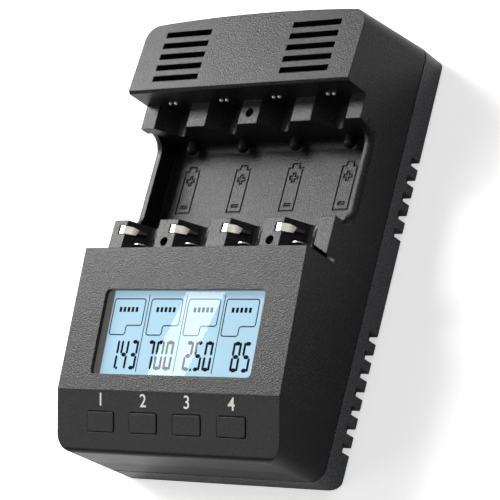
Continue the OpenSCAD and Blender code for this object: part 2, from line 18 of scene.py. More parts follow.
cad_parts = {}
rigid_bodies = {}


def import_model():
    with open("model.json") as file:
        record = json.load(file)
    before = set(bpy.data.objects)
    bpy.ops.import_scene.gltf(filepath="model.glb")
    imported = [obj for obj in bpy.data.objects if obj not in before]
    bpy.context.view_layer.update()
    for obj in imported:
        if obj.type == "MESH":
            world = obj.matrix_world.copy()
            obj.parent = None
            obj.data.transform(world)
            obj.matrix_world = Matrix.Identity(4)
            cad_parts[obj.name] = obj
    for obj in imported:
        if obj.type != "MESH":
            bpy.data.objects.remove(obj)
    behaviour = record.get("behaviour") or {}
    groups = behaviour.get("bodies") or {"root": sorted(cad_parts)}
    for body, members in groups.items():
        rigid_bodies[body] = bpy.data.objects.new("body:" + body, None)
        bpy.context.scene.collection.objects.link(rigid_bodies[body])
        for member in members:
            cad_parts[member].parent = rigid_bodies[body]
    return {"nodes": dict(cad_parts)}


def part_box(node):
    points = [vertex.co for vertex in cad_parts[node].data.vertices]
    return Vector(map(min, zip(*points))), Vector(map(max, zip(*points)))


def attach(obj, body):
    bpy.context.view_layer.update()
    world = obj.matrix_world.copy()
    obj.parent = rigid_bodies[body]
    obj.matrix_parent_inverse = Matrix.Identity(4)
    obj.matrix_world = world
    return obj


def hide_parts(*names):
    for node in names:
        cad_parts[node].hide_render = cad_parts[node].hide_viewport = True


for leftover in list(bpy.data.objects):
    bpy.data.objects.remove(leftover)
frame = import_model()

bl_info = {
    "name": "Battery charger dressing",
    "version": (1, 0, 0),
    "blender": (4, 5, 0),
    "location": "View3D > Sidebar > Charger",
    "description": "Finishes, display, numbers and studio of a four-bay battery charger",
    "category": "Object",
}

MM = 0.001

# The display face: its upper edge (mm), its slope and its length down the
# slope (mm), and the slope of the button face below it.
DISPLAY_EDGE = np.array([0.0, -9.3, 41.34])
DISPLAY_SLOPE = math.radians(5.7)
DISPLAY_LENGTH = 43.7
BUTTON_SLOPE = math.radians(21.7)

# Cells of the display from left to right: left edge, right edge, and the
# x where the lower part of the outline ends (mm).
CELL_OUTLINES = ((-28.6, -16.4, -22.4), (-14.0, -1.95, -8.0),
                 (0.4, 12.45, 6.45), (14.8, 26.95, 21.1))
# Distances down the face (mm) of the outlines' top, step and foot, and the
# radius of their corners.
OUTLINE_TOP, OUTLINE_STEP, OUTLINE_FOOT, OUTLINE_ROUND = 15.2, 23.3, 26.2, 0.9
# The lines between the cells: x of each, half its width, and its two ends.
DIVIDERS = (-15.2, -0.6, 13.9)
DIVIDER_HALF, DIVIDER_ENDS = 0.12, (14.0, 37.4)
# Level marks of a cell: how many, x of the first from the cell's left edge,
# their spacing and width, and their two ends down the face.
MARKS, MARK_START, MARK_PITCH, MARK_WIDTH, MARK_ENDS = 5, 2.4, 1.6, 0.95, (17.7, 19.2)

# Numbers on the display: characters, x of the first and x of the last edge.
READINGS = (("1.43", -26.4, -15.9), ("700", -12.4, -2.1), ("2.50", 2.4, 12.9), ("85", 20.3, 27.2))
# Where the digits' tops lie down the face, and the widths of their upright
# and level bars (mm).
READING_TOP, UPRIGHT_BAR, LEVEL_BAR = 27.75, 0.78, 1.15
# How much shorter the level and upright bars are than their spans, at each
# end and in widths of an upright bar.
LEVEL_INSET, UPRIGHT_INSET = 0.6, 0.25
# Half the width and the height of a reading's point (mm).
POINT_HALF, POINT_TALL = 0.32, 0.75

# The display panel (mm): depth of the solid's top below the display face,
# the room left above the marks on the lit plate, the depth of the plate's
# underside, its two ends down the face and the radius of its corners.
PANEL_DEPTH, PANEL_CLEARANCE, PANEL_UNDERSIDE = 2.5, 0.03, 4.3
PANEL_ENDS, PANEL_ROUND = (11.15, 40.75), 0.4
# Marks end this far above the plate, so that no two faces share a plane.
MARK_LIFT = 0.001
# Depth of the clear window's outer face (mm).
WINDOW_DEPTH = 1.3

# The middle of the printed numbers, down the button face (mm).
NUMBER_AT = 2.75
# Height of the font's numerals as a share of its size.
NUMERAL_SHARE = 0.70

# The grey margin of the panel, outside its backlit part: the x between which it ends (m), and its
# colour, which also glows there as painted light.
MARGIN_EDGE, MARGIN_COLOUR = (-0.0294, -0.0291), (0.16, 0.155, 0.145, 1.0)
# Strength of the panel's light, and its unlit colour as a share of the lit.
LIT_STRENGTH, UNLIT_SHADE = 0.58, 0.45

# The plastic's grain: the part of the noise that the specks are made from,
# how much more a speck brightens than darkens, the part that the gloss is
# made from, and the scale of the wide patches.
SPECK_RANGE, BRIGHTER, GLOSS_RANGE, PATCH_SCALE = (0.42, 0.66), 2.5, (0.35, 0.65), 90.0
# Share of the plastic's grain that is left on the button face, and the two y
# between which it grows to full (m).
CALM_GRAIN = 0.35
CALM_FROM_TO = (-0.0545, -0.0520)
# The duller trough: half its width, the height it ends at, and what is added
# to the roughness (m, m, plain).
DULL_TROUGH = (0.0375, 0.0200, 0.07)
# Heights (m) between which the contact strips go from a painted shade, the dark colour below, to
# their own nickel above.
PAINTED_SHADE_HEIGHTS = (0.0299, 0.0313)
PAINTED_SHADE_COLOUR = (0.085, 0.070, 0.056, 1.0)

# Which of the seven bars each digit lights: top, upper right, lower right,
# bottom, lower left, upper left, middle.
DIGIT_BARS = {
    "0": (1, 1, 1, 1, 1, 1, 0), "1": (0, 1, 1, 0, 0, 0, 0), "2": (1, 1, 0, 1, 1, 0, 1),
    "3": (1, 1, 1, 1, 0, 0, 1), "4": (0, 1, 1, 0, 0, 1, 1), "5": (1, 0, 1, 1, 0, 1, 1),
    "6": (1, 0, 1, 1, 1, 1, 1), "7": (1, 1, 1, 0, 0, 0, 0), "8": (1, 1, 1, 1, 1, 1, 1),
    "9": (1, 1, 1, 1, 0, 1, 1),
}


# Property groups.

class ChargerSizes(bpy.types.PropertyGroup):
    """Sizes of the added pieces and of the grain."""

    stroke: FloatProperty(
        name="Display line", description="Width of the outlines on the display",
        default=0.00032, min=0.0001, max=0.001, precision=5, unit="LENGTH", subtype="DISTANCE")
    digit_height: FloatProperty(
        name="Digit height", description="Height of the digits on the display",
        default=0.0090, min=0.004, max=0.012, precision=5, unit="LENGTH", subtype="DISTANCE")
    ink: FloatProperty(
        name="Ink thickness", description="Thickness of printed and displayed marks",
        default=0.00005, min=0.00001, max=0.0001, precision=6, unit="LENGTH", subtype="DISTANCE")
    number_height: FloatProperty(
        name="Number height", description="Height of the numbers above the buttons",
        default=0.0038, min=0.001, max=0.006, precision=5, unit="LENGTH", subtype="DISTANCE")
    grain: FloatProperty(
        name="Grain size", description="Distance between grains of the moulded texture",
        default=0.00038, min=0.0001, max=0.002, precision=5, unit="LENGTH", subtype="DISTANCE")
    edge_round: FloatProperty(
        name="Edge softness", description="Radius at which moulded edges catch the light",
        default=0.00040, min=0.0, max=0.001, precision=5, unit="LENGTH", subtype="DISTANCE")


class ChargerColours(bpy.types.PropertyGroup):
    """Colours of the finishes, in linear light."""

    front: FloatVectorProperty(
        name="Front shell", description="Colour of the front shell's plastic",
        default=(0.0092, 0.0088, 0.0090), min=0.0, max=1.0, subtype="COLOR")
    rear: FloatVectorProperty(
        name="Rear shell", description="Colour of the rear shell's plastic",
        default=(0.0480, 0.0490, 0.0540), min=0.0, max=1.0, subtype="COLOR")
    button: FloatVectorProperty(
        name="Buttons", description="Colour of the buttons",
        default=(0.0150, 0.0150, 0.0158), min=0.0, max=1.0, subtype="COLOR")
    lit: FloatVectorProperty(
        name="Lit display", description="Colour of the lit display",
        default=(0.53, 0.79, 0.96), min=0.0, max=1.0, subtype="COLOR")
    segment: FloatVectorProperty(
        name="Display marks", description="Colour of the dark marks on the display",
        default=(0.006, 0.012, 0.020), min=0.0, max=1.0, subtype="COLOR")
    number: FloatVectorProperty(
        name="Numbers", description="Colour of the numbers above the buttons",
        default=(0.74, 0.74, 0.72), min=0.0, max=1.0, subtype="COLOR")
    nickel: FloatVectorProperty(
        name="Nickel", description="Colour of the plated contacts",
        default=(0.80, 0.77, 0.70), min=0.0, max=1.0, subtype="COLOR")
    floor: FloatVectorProperty(
        name="Floor", description="Colour of the floor and backdrop",
        default=(0.90, 0.90, 0.90), min=0.0, max=1.0, subtype="COLOR")


# Node helpers.

class Finish:
    """A material whose nodes are added one after another."""

    def __init__(self, name):
        self.material = bpy.data.materials.new(name)
        self.material.use_nodes = True
        self.tree = self.material.node_tree
        self.tree.nodes.clear()
        self.out = self.add("ShaderNodeOutputMaterial")
        self.coords = self.add("ShaderNodeTexCoord").outputs["Object"]

    def add(self, kind, **settings):
        node = self.tree.nodes.new(kind)
        for key, value in settings.items():
            setattr(node, key, value)
        return node

    def join(self, source, target):
        self.tree.links.new(source, target)

    def shader(self, colour, roughness, metallic=0.0, coat=0.0, coat_roughness=0.1):
        node = self.add("ShaderNodeBsdfPrincipled")
        node.inputs["Base Color"].default_value = (*colour, 1.0)
        node.inputs["Roughness"].default_value = roughness
        node.inputs["Metallic"].default_value = metallic
        node.inputs["Coat Weight"].default_value = coat
        node.inputs["Coat Roughness"].default_value = coat_roughness
        self.join(node.outputs["BSDF"], self.out.inputs["Surface"])
        return node

    def noise(self, scale, detail=2.0, roughness=0.5, stretch=None):
        """Noise whose grains are 1 / scale metres apart, drawn out by stretch."""
        node = self.add("ShaderNodeTexNoise")
        node.inputs["Scale"].default_value = scale
        node.inputs["Detail"].default_value = detail
        node.inputs["Roughness"].default_value = roughness
        if stretch:
            mapping = self.add("ShaderNodeMapping")
            mapping.inputs["Scale"].default_value = stretch
            self.join(self.coords, mapping.inputs["Vector"])
            self.join(mapping.outputs["Vector"], node.inputs["Vector"])
        else:
            self.join(self.coords, node.inputs["Vector"])
        return node.outputs["Fac"]

    def spread(self, value, low, high, start=0.3, end=0.7):
        """Carries value from start..end to low..high."""
        node = self.add("ShaderNodeMapRange")
        node.inputs["From Min"].default_value = start
        node.inputs["From Max"].default_value = end
        node.inputs["To Min"].default_value = low
        node.inputs["To Max"].default_value = high
        self.join(value, node.inputs["Value"])
        return node.outputs["Result"]

    def between(self, value, first, second):
        """Mixes two colours by value."""
        node = self.add("ShaderNodeMix", data_type="RGBA")
        node.inputs["A"].default_value = (*first, 1.0)
        node.inputs["B"].default_value = (*second, 1.0)
        self.join(value, node.inputs["Factor"])
        return node.outputs["Result"]

    def bump(self, height, distance, under=None):
        node = self.add("ShaderNodeBump")
        node.inputs["Distance"].default_value = distance
        self.join(height, node.inputs["Height"])
        if under is not None:
            self.join(under, node.inputs["Normal"])
        return node.outputs["Normal"]

    def soft_edges(self, radius):
        node = self.add("ShaderNodeBevel", samples=4)
        node.inputs["Radius"].default_value = radius
        return node.outputs["Normal"]


def scaled(colour, factor):
    return tuple(min(1.0, c * factor) for c in colour)


def moulded(name, colour, roughness, grain, depth, edge, speckle=0.35, sheen=0.04, matt=0.0,
            gloss=0.5, calm=None, deep=None):
    """Moulded plastic: eroded grain in bump and colour, each grain's own gloss
    by matt, and wide patches of uneven gloss by sheen. The grain grows from
    CALM_GRAIN to full between the two y of calm. The plastic is duller by
    deep's third number within its half width x and under its height z."""
    f = Finish(name)
    p = f.shader(colour, roughness)
    p.inputs["Specular IOR Level"].default_value = gloss
    fine = f.noise(1.0 / grain, detail=1.0, roughness=0.5)
    place = f.add("ShaderNodeSeparateXYZ")
    f.join(f.coords, place.inputs["Vector"])
    if calm:
        level = f.add("ShaderNodeMix")
        level.inputs["A"].default_value = 0.5
        f.join(f.spread(place.outputs["Y"], CALM_GRAIN, 1.0, *calm), level.inputs["Factor"])
        f.join(fine, level.inputs["B"])
        fine = level.outputs["Result"]
    specks = f.spread(fine, 0.0, 1.0, *SPECK_RANGE)
    tones = scaled(colour, 1.0 - speckle), scaled(colour, 1.0 + BRIGHTER * speckle)
    f.join(f.between(specks, *tones), p.inputs["Base Color"])
    grains = f.spread(fine, roughness + matt, roughness - matt, *GLOSS_RANGE)
    both = f.add("ShaderNodeMath", operation="ADD")
    f.join(grains, both.inputs[0])
    f.join(f.spread(f.noise(PATCH_SCALE, detail=3.0), -sheen, sheen), both.inputs[1])
    dull = both.outputs["Value"]
    if deep:
        half_x, top_z, extra = deep
        across = f.add("ShaderNodeMath", operation="ABSOLUTE")
        f.join(place.outputs["X"], across.inputs[0])
        inside = f.add("ShaderNodeMath", operation="MULTIPLY")
        f.join(f.spread(across.outputs["Value"], 1.0, 0.0, half_x - 0.001, half_x),
               inside.inputs[0])
        f.join(f.spread(place.outputs["Z"], extra, 0.0, top_z - 0.002, top_z), inside.inputs[1])
        duller = f.add("ShaderNodeMath", operation="ADD")
        f.join(dull, duller.inputs[0])
        f.join(inside.outputs["Value"], duller.inputs[1])
        dull = duller.outputs["Value"]
    f.join(dull, p.inputs["Roughness"])
    under = f.soft_edges(edge) if edge > 0.0 else None
    f.join(f.bump(fine, depth, under=under), p.inputs["Normal"])
    return f.material


def brushed_metal(name, colour, roughness, stretch, depth=0.00001, shade_heights=None):
    """Sheet metal: fine rolling lines along one axis, and faint tarnish.
    With shade heights given, the metal is painted darker below them, a painted shade, and has its
    own colour above them."""
    f = Finish(name)
    p = f.shader(colour, roughness, metallic=1.0)
    lines = f.noise(1.0, detail=3.0, roughness=0.6, stretch=stretch)
    tarnish = f.noise(260.0, detail=4.0)
    tone = f.between(f.spread(tarnish, 0.0, 1.0), colour, scaled(colour, 0.72))
    # Painted shade: below the given heights the metal's colour turns dark.
    if shade_heights:
        split = f.add("ShaderNodeSeparateXYZ")
        f.join(f.coords, split.inputs["Vector"])
        mix = f.add("ShaderNodeMix", data_type="RGBA")
        mix.inputs["A"].default_value = PAINTED_SHADE_COLOUR
        f.join(f.spread(split.outputs["Z"], 0.0, 1.0, *shade_heights), mix.inputs["Factor"])
        f.join(tone, mix.inputs["B"])
        tone = mix.outputs["Result"]
    f.join(tone, p.inputs["Base Color"])
    f.join(f.spread(lines, roughness * 0.7, roughness * 1.4), p.inputs["Roughness"])
    f.join(f.bump(lines, depth, under=f.soft_edges(0.00012)), p.inputs["Normal"])
    return f.material


def dress(node, material):
    """Gives a solid of the model its finish, in every material slot."""
    obj = frame["nodes"][node]
    if not obj.material_slots:
        obj.data.materials.append(material)
    for material_slot in obj.material_slots:
        material_slot.material = material


def need(*nodes):
    missing = [n for n in nodes if n not in frame["nodes"]]
    if missing:
        raise RuntimeError("the model has no node " + ", ".join(missing))


# Surfaces.

def display_point(x, s, depth):
    """Arrays of x, distance s down the display face and depth below it become
    points: edge of the face, plus s along the slope, minus depth along the
    face's normal."""
    x, s, depth = np.broadcast_arrays(*(np.asarray(v, float) for v in (x, s, depth)))
    y = DISPLAY_EDGE[1] - s * math.cos(DISPLAY_SLOPE) + depth * math.sin(DISPLAY_SLOPE)
    z = DISPLAY_EDGE[2] - s * math.sin(DISPLAY_SLOPE) - depth * math.cos(DISPLAY_SLOPE)
    return np.stack([x, y, z], axis=-1) * MM


def button_point(x, s, depth):
    """The same for the button face, whose s starts at the fold under the
    display face."""
    x, s, depth = np.broadcast_arrays(*(np.asarray(v, float) for v in (x, s, depth)))
    fold = display_point(0.0, DISPLAY_LENGTH, 0.0) / MM
    y = fold[1] - s * math.cos(BUTTON_SLOPE) + depth * math.sin(BUTTON_SLOPE)
    z = fold[2] - s * math.sin(BUTTON_SLOPE) - depth * math.cos(BUTTON_SLOPE)
    return np.stack([x, y, z], axis=-1) * MM


def mesh_piece(name, points, faces, material, body="case"):
    """Puts points (n, 3) and triangles (m, 3) or quads (m, 4) into a mesh with
    flat faces and makes its object."""
    points = np.ascontiguousarray(points, dtype=np.float32)
    faces = np.ascontiguousarray(faces, dtype=np.int32)
    mesh = bpy.data.meshes.new(name)
    mesh.vertices.add(len(points))
    mesh.vertices.foreach_set("co", points.ravel())
    mesh.loops.add(faces.size)
    mesh.loops.foreach_set("vertex_index", faces.ravel())
    mesh.polygons.add(len(faces))
    starts = np.arange(0, faces.size, faces.shape[1], dtype=np.int32)
    mesh.polygons.foreach_set("loop_start", starts)
    mesh.update(calc_edges=True)
    mesh.validate()
    mesh.polygons.foreach_set("use_smooth", np.full(len(mesh.polygons), False))
    mesh.materials.append(material)
    obj = bpy.data.objects.new(name, mesh)
    bpy.context.scene.collection.objects.link(obj)
    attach(obj, body)
    return obj


def prisms(corners, top, bottom, place):
    """Closed flat prisms. corners is (n, 6, 2): six corners of each outline,
    turning from x towards s. Each becomes a ring at the depth top and one at
    the depth bottom, with six side walls and two quads for each cap."""
    n = len(corners)
    x, s = corners[..., 0], corners[..., 1]
    upper = place(x, s, np.full_like(x, top))
    lower = place(x, s, np.full_like(x, bottom))
    points = np.concatenate([upper, lower], axis=1).reshape(-1, 3)
    i = np.arange(6)
    j = (i + 1) % 6
    walls = np.stack([i, j, j + 6, i + 6], axis=1)
    caps = np.array([[3, 2, 1, 0], [5, 4, 3, 0], [6, 7, 8, 9], [6, 9, 10, 11]])
    faces = np.concatenate([walls, caps])[None] + 12 * np.arange(n)[:, None, None]
    return points, faces.reshape(-1, 4)


def bar_corners(bars):
    """Outlines of bars (n, 5): centre x, centre s, half length, half width and
    1 for a bar along x or 0 for one along s. A bar is a hexagon whose ends
    come to a blunt point."""
    cx, cs, hl, hw, flat = np.asarray(bars, float).T
    along = np.stack([-(hl - hw), hl - hw, hl, hl - hw, -(hl - hw), -hl], axis=1)
    across = np.stack([-hw, -hw, 0 * hw, hw, hw, 0 * hw], axis=1)
    flat = flat[:, None]
    x = cx[:, None] + np.where(flat > 0.5, along, -across)
    s = cs[:, None] + np.where(flat > 0.5, across, along)
    return np.stack([x, s], axis=-1)


def rect_corners(rects):
    """Outlines of rectangles (n, 4): x0, x1, s0, s1, with two middle points so
    that they share the six corners of a bar."""
    x0, x1, s0, s1 = np.asarray(rects, float).T
    xm = (x0 + x1) / 2
    return np.stack([np.stack([x0, xm, x1, x1, xm, x0], axis=1),
                     np.stack([s0, s0, s0, s1, s1, s1], axis=1)], axis=-1)


def rounded_path(corners, radius, steps=5):
    """A closed path with rounded corners: at each corner a quarter-like curve
    between the points radius before and after it, as a quadratic blend
    (1-t)^2 A + 2t(1-t) P + t^2 B of those points and the corner."""
    p = np.asarray(corners, float)
    before = np.roll(p, 1, axis=0) - p
    after = np.roll(p, -1, axis=0) - p
    a = p + before / np.linalg.norm(before, axis=1)[:, None] * radius
    b = p + after / np.linalg.norm(after, axis=1)[:, None] * radius
    t = np.linspace(0.0, 1.0, steps)[None, :, None]
    curve = (1 - t) ** 2 * a[:, None] + 2 * t * (1 - t) * p[:, None] + t ** 2 * b[:, None]
    return curve.reshape(-1, 2)


def band(path, width, top, bottom, place):
    """A closed raised line along a closed path: at each point the profile is a
    rectangle, half the width to each side along the path's normal, between
    the depths top and bottom."""
    ahead = np.roll(path, -1, axis=0) - np.roll(path, 1, axis=0)
    ahead /= np.linalg.norm(ahead, axis=1)[:, None]
    side = np.stack([-ahead[:, 1], ahead[:, 0]], axis=1) * (width / 2)
    left, right = path + side, path - side
    rows = [place(left[:, 0], left[:, 1], top), place(right[:, 0], right[:, 1], top),
            place(right[:, 0], right[:, 1], bottom), place(left[:, 0], left[:, 1], bottom)]
    points = np.stack(rows, axis=1).reshape(-1, 3)
    n = len(path)
    i = np.arange(n)[:, None]
    k = (np.arange(n)[:, None] + 1) % n
    c = np.arange(4)[None]
    d = (c + 1) % 4
    faces = np.stack([4 * i + c, 4 * i + d, 4 * k + d, 4 * k + c], axis=-1)
    return points, faces.reshape(-1, 4)


def merged(parts):
    """Several lots of points and faces as one, with the faces counted on."""
    points, faces, start = [], [], 0
    for p, f in parts:
        points.append(p)
        faces.append(f + start)
        start += len(p)
    return np.concatenate(points), np.concatenate(faces)


def outward(points, faces):
    """Turns the faces over if the closed surface's volume, the sum of the
    signed volumes of its triangles over the origin, is negative."""
    q = points[faces]
    q = q - points.mean(axis=0)
    volume = np.einsum("ij,ij->i", q[:, 0], np.cross(q[:, 1], q[:, 2])).sum()
    if faces.shape[1] == 4:
        volume += np.einsum("ij,ij->i", q[:, 0], np.cross(q[:, 2], q[:, 3])).sum()
    return faces if volume > 0 else faces[:, ::-1]


def digit_bars(text, x0, x1, s0, height, thin, bold, gap=0.8):
    """Bars of a row of seven-bar digits from x0 to x1. Upright bars are thin
    and level bars bold, as (centre x, centre s, half length, half width,
    level). A point is a small rectangle at the foot."""
    digits = [c for c in text if c != "."]
    pitch = (x1 - x0 + gap) / len(digits)
    wide = pitch - gap
    half = height / 2
    bars, dots = [], []
    place = 0
    for c in text:
        if c == ".":
            edge = x0 + place * pitch - gap / 2
            dots.append((edge - POINT_HALF, edge + POINT_HALF, s0 + height - POINT_TALL,
                         s0 + height))
            continue
        left = x0 + place * pitch
        right = left + wide
        mid = (left + right) / 2
        level = wide / 2 - thin * LEVEL_INSET
        upright = half / 2 - thin * UPRIGHT_INSET
        spots = ((mid, s0 + bold / 2, level, bold / 2, 1),
                 (right - thin / 2, s0 + half / 2, upright, thin / 2, 0),
                 (right - thin / 2, s0 + 1.5 * half, upright, thin / 2, 0),
                 (mid, s0 + height - bold / 2, level, bold / 2, 1),
                 (left + thin / 2, s0 + 1.5 * half, upright, thin / 2, 0),
                 (left + thin / 2, s0 + half / 2, upright, thin / 2, 0),
                 (mid, s0 + half, level, bold / 2, 1))
        bars += [spot for spot, lit in zip(spots, DIGIT_BARS[c]) if lit]
        place += 1
    return bars, dots


# Operators.

class CHARGER_OT_shells(bpy.types.Operator):
    """Fine-grained plastic on the front shell, smoother plastic on the rear"""

    bl_idname = "charger.shells"
    bl_label = "Shells"

    def execute(self, context):
        need("front_shell", "rear_shell")
        sizes, colours = context.scene.charger_sizes, context.scene.charger_colours
        front = moulded("front plastic", colours.front, 0.32, sizes.grain, 0.00010,
                        sizes.edge_round, speckle=0.8, sheen=0.02, matt=0.03, gloss=0.23,
                        calm=CALM_FROM_TO, deep=DULL_TROUGH)
        rear = moulded("rear plastic", colours.rear, 0.42, sizes.grain, 0.00005,
                       sizes.edge_round, speckle=0.5, sheen=0.02, matt=0.04, gloss=0.5)
        dress("front_shell", front)
        dress("rear_shell", rear)
        return {"FINISHED"}


class CHARGER_OT_buttons(bpy.types.Operator):
    """Satin plastic on the four buttons"""

    bl_idname = "charger.buttons"
    bl_label = "Buttons"

    def execute(self, context):
        names = ["button_%d" % n for n in range(1, 5)]
        need(*names)
        sizes, colours = context.scene.charger_sizes, context.scene.charger_colours
        satin = moulded("button plastic", colours.button, 0.38, sizes.grain, 0.00002,
                        sizes.edge_round, speckle=0.3, sheen=0.02, gloss=0.22)
        for name in names:
            dress(name, satin)
        return {"FINISHED"}


class CHARGER_OT_contacts(bpy.types.Operator):
    """Plated metal on the cell contacts, brass in the power socket"""

    bl_idname = "charger.contacts"
    bl_label = "Contacts"

    def execute(self, context):
        nickel = tuple(context.scene.charger_colours.nickel)
        # The nickel is painted lighter on the nubs and strips and darker on the springs: a painted
        # highlight and a painted shade on copies of one metal.
        nub = brushed_metal("nickel nub", scaled(nickel, 1.2), 0.42, (900.0, 900.0, 6000.0))
        spring = brushed_metal("nickel spring", scaled(nickel, 0.6), 0.34, (900.0, 900.0, 6000.0))
        # The strips' colour darkens low down: a painted shade.
        strip = brushed_metal("nickel strip", scaled(nickel, 1.12), 0.32, (6000.0, 900.0, 900.0),
                              shade_heights=PAINTED_SHADE_HEIGHTS)
        brass = brushed_metal("brass pin", (0.72, 0.52, 0.24), 0.28, (4000.0, 500.0, 4000.0))
        for n in range(1, 5):
            for kind, metal in (("long_cell", spring), ("short_cell", strip), ("positive", nub)):
                node = "%s_contact_%d" % (kind, n)
                need(node)
                dress(node, metal)
        dress("power_socket_pin", brass)
        return {"FINISHED"}


def board_finish():
    """Circuit board: green resist in fields of two shades, with lighter lines
    between them."""
    f = Finish("board resist")
    p = f.shader((0.02, 0.11, 0.05), 0.3, coat=0.4, coat_roughness=0.15)
    tracks = f.add("ShaderNodeTexBrick", offset=0.37, offset_frequency=3)
    tracks.inputs["Scale"].default_value = 180.0
    tracks.inputs["Mortar Size"].default_value = 0.03
    tracks.inputs["Color1"].default_value = (0.018, 0.105, 0.045, 1.0)
    tracks.inputs["Color2"].default_value = (0.026, 0.130, 0.058, 1.0)
    tracks.inputs["Mortar"].default_value = (0.045, 0.20, 0.085, 1.0)
    f.join(f.coords, tracks.inputs["Vector"])
    f.join(tracks.outputs["Color"], p.inputs["Base Color"])
    f.join(f.bump(tracks.outputs["Fac"], 0.00003), p.inputs["Normal"])
    return f.material


def sleeve_finish():
    """Shrunk sleeve of the capacitors: dark blue with a fine wrinkle."""
    f = Finish("capacitor sleeve")
    p = f.shader((0.012, 0.02, 0.06), 0.28)
    wrinkle = f.noise(1.0, detail=2.0, stretch=(1200.0, 1200.0, 300.0))
    f.join(f.between(wrinkle, (0.009, 0.015, 0.05), (0.02, 0.03, 0.08)), p.inputs["Base Color"])
    f.join(f.bump(wrinkle, 0.00002), p.inputs["Normal"])
    return f.material


class CHARGER_OT_inside(bpy.types.Operator):
    """Finishes of the boards, parts on them, screws and the power socket"""

    bl_idname = "charger.inside"
    bl_label = "Boards and screws"

    def execute(self, context):
        board = board_finish()
        steel = brushed_metal("screw steel", (0.42, 0.42, 0.43), 0.3, (3000.0, 3000.0, 3000.0))
        black = moulded("black part plastic", (0.012, 0.012, 0.012), 0.5, 0.0004, 0.00002, 0.0002)
        white = moulded("white part plastic", (0.72, 0.72, 0.70), 0.45, 0.0006, 0.00001, 0.0002,
                        speckle=0.04)
        sleeve = sleeve_finish()
        lots = ((board, ("main_board", "display_board")),
                (steel, ("case_screws", "display_screws", "main_board_screws")),
                (black, ("power_socket", "coils", "power_transistors", "controller_chip",
                         "link_header", "push_switches")),
                (white, ("display_backlight",)),
                (sleeve, ("capacitors",)))
        for material, nodes in lots:
            need(*nodes)
            for node in nodes:
                dress(node, material)
        return {"FINISHED"}


def window_finish():
    """Clear moulded window: see-through, with gloss on its outside that grows
    at a low angle and is very faintly uneven."""
    f = Finish("clear window")
    clear = f.add("ShaderNodeBsdfTransparent")
    clear.inputs["Color"].default_value = (0.985, 0.99, 0.99, 1.0)
    gloss = f.add("ShaderNodeBsdfGlossy")
    gloss.inputs["Roughness"].default_value = 0.01
    gloss.inputs["Color"].default_value = (1.0, 1.0, 1.0, 1.0)
    fresnel = f.add("ShaderNodeFresnel")
    fresnel.inputs["IOR"].default_value = 1.49
    f.join(f.bump(f.noise(60.0, detail=1.0), 0.0000005), gloss.inputs["Normal"])
    outside = f.add("ShaderNodeMath", operation="SUBTRACT")
    outside.inputs[0].default_value = 1.0
    f.join(f.add("ShaderNodeNewGeometry").outputs["Backfacing"], outside.inputs[1])
    share = f.add("ShaderNodeMath", operation="MULTIPLY")
    f.join(fresnel.outputs["Fac"], share.inputs[0])
    f.join(outside.outputs["Value"], share.inputs[1])
    mix = f.add("ShaderNodeMixShader")
    f.join(share.outputs["Value"], mix.inputs["Fac"])
    f.join(clear.outputs["BSDF"], mix.inputs[1])
    f.join(gloss.outputs["BSDF"], mix.inputs[2])
    f.join(mix.outputs["Shader"], f.out.inputs["Surface"])
    return f.material


def lit_panel_finish(colour):
    """Lit display: a pale, slightly uneven glow, a grey margin at the left end that glows faintly
    too, a painted light, and a fine grain."""
    f = Finish("lit display")
    p = f.shader(colour, 0.6)
    p.inputs["Specular IOR Level"].default_value = 0.0
    split = f.add("ShaderNodeSeparateXYZ")
    f.join(f.coords, split.inputs["Vector"])
    margin = f.spread(split.outputs["X"], 0.0, 1.0, *MARGIN_EDGE)
    glow = f.spread(f.noise(45.0, detail=1.0), 0.0, 1.0)
    lit = f.between(glow, scaled(colour, 0.94), scaled(colour, 1.02))
    mix = f.add("ShaderNodeMix", data_type="RGBA")
    mix.inputs["A"].default_value = MARGIN_COLOUR
    f.join(margin, mix.inputs["Factor"])
    f.join(lit, mix.inputs["B"])
    tone = mix.outputs["Result"]
    dim = f.add("ShaderNodeMix", data_type="RGBA", blend_type="MULTIPLY")
    dim.inputs["Factor"].default_value = 1.0
    dim.inputs["B"].default_value = (UNLIT_SHADE, UNLIT_SHADE, UNLIT_SHADE, 1.0)
    f.join(tone, dim.inputs["A"])
    f.join(dim.outputs["Result"], p.inputs["Base Color"])
    # The margin's grey glows as well: painted light.
    f.join(tone, p.inputs["Emission Color"])
    p.inputs["Emission Strength"].default_value = LIT_STRENGTH
    f.join(f.bump(f.noise(5000.0, detail=1.0), 0.000005), p.inputs["Normal"])
    return f.material


def ink_finish(name, colour, roughness, gloss=0.5):
    """Printed or displayed mark: flat ink with a slightly uneven film."""
    f = Finish(name)
    p = f.shader(colour, roughness)
    p.inputs["Specular IOR Level"].default_value = gloss
    film = f.noise(2500.0, detail=2.0)
    f.join(f.between(film, scaled(colour, 0.86), scaled(colour, 1.12)), p.inputs["Base Color"])
    f.join(f.spread(film, roughness - 0.05, roughness + 0.05), p.inputs["Roughness"])
    return f.material


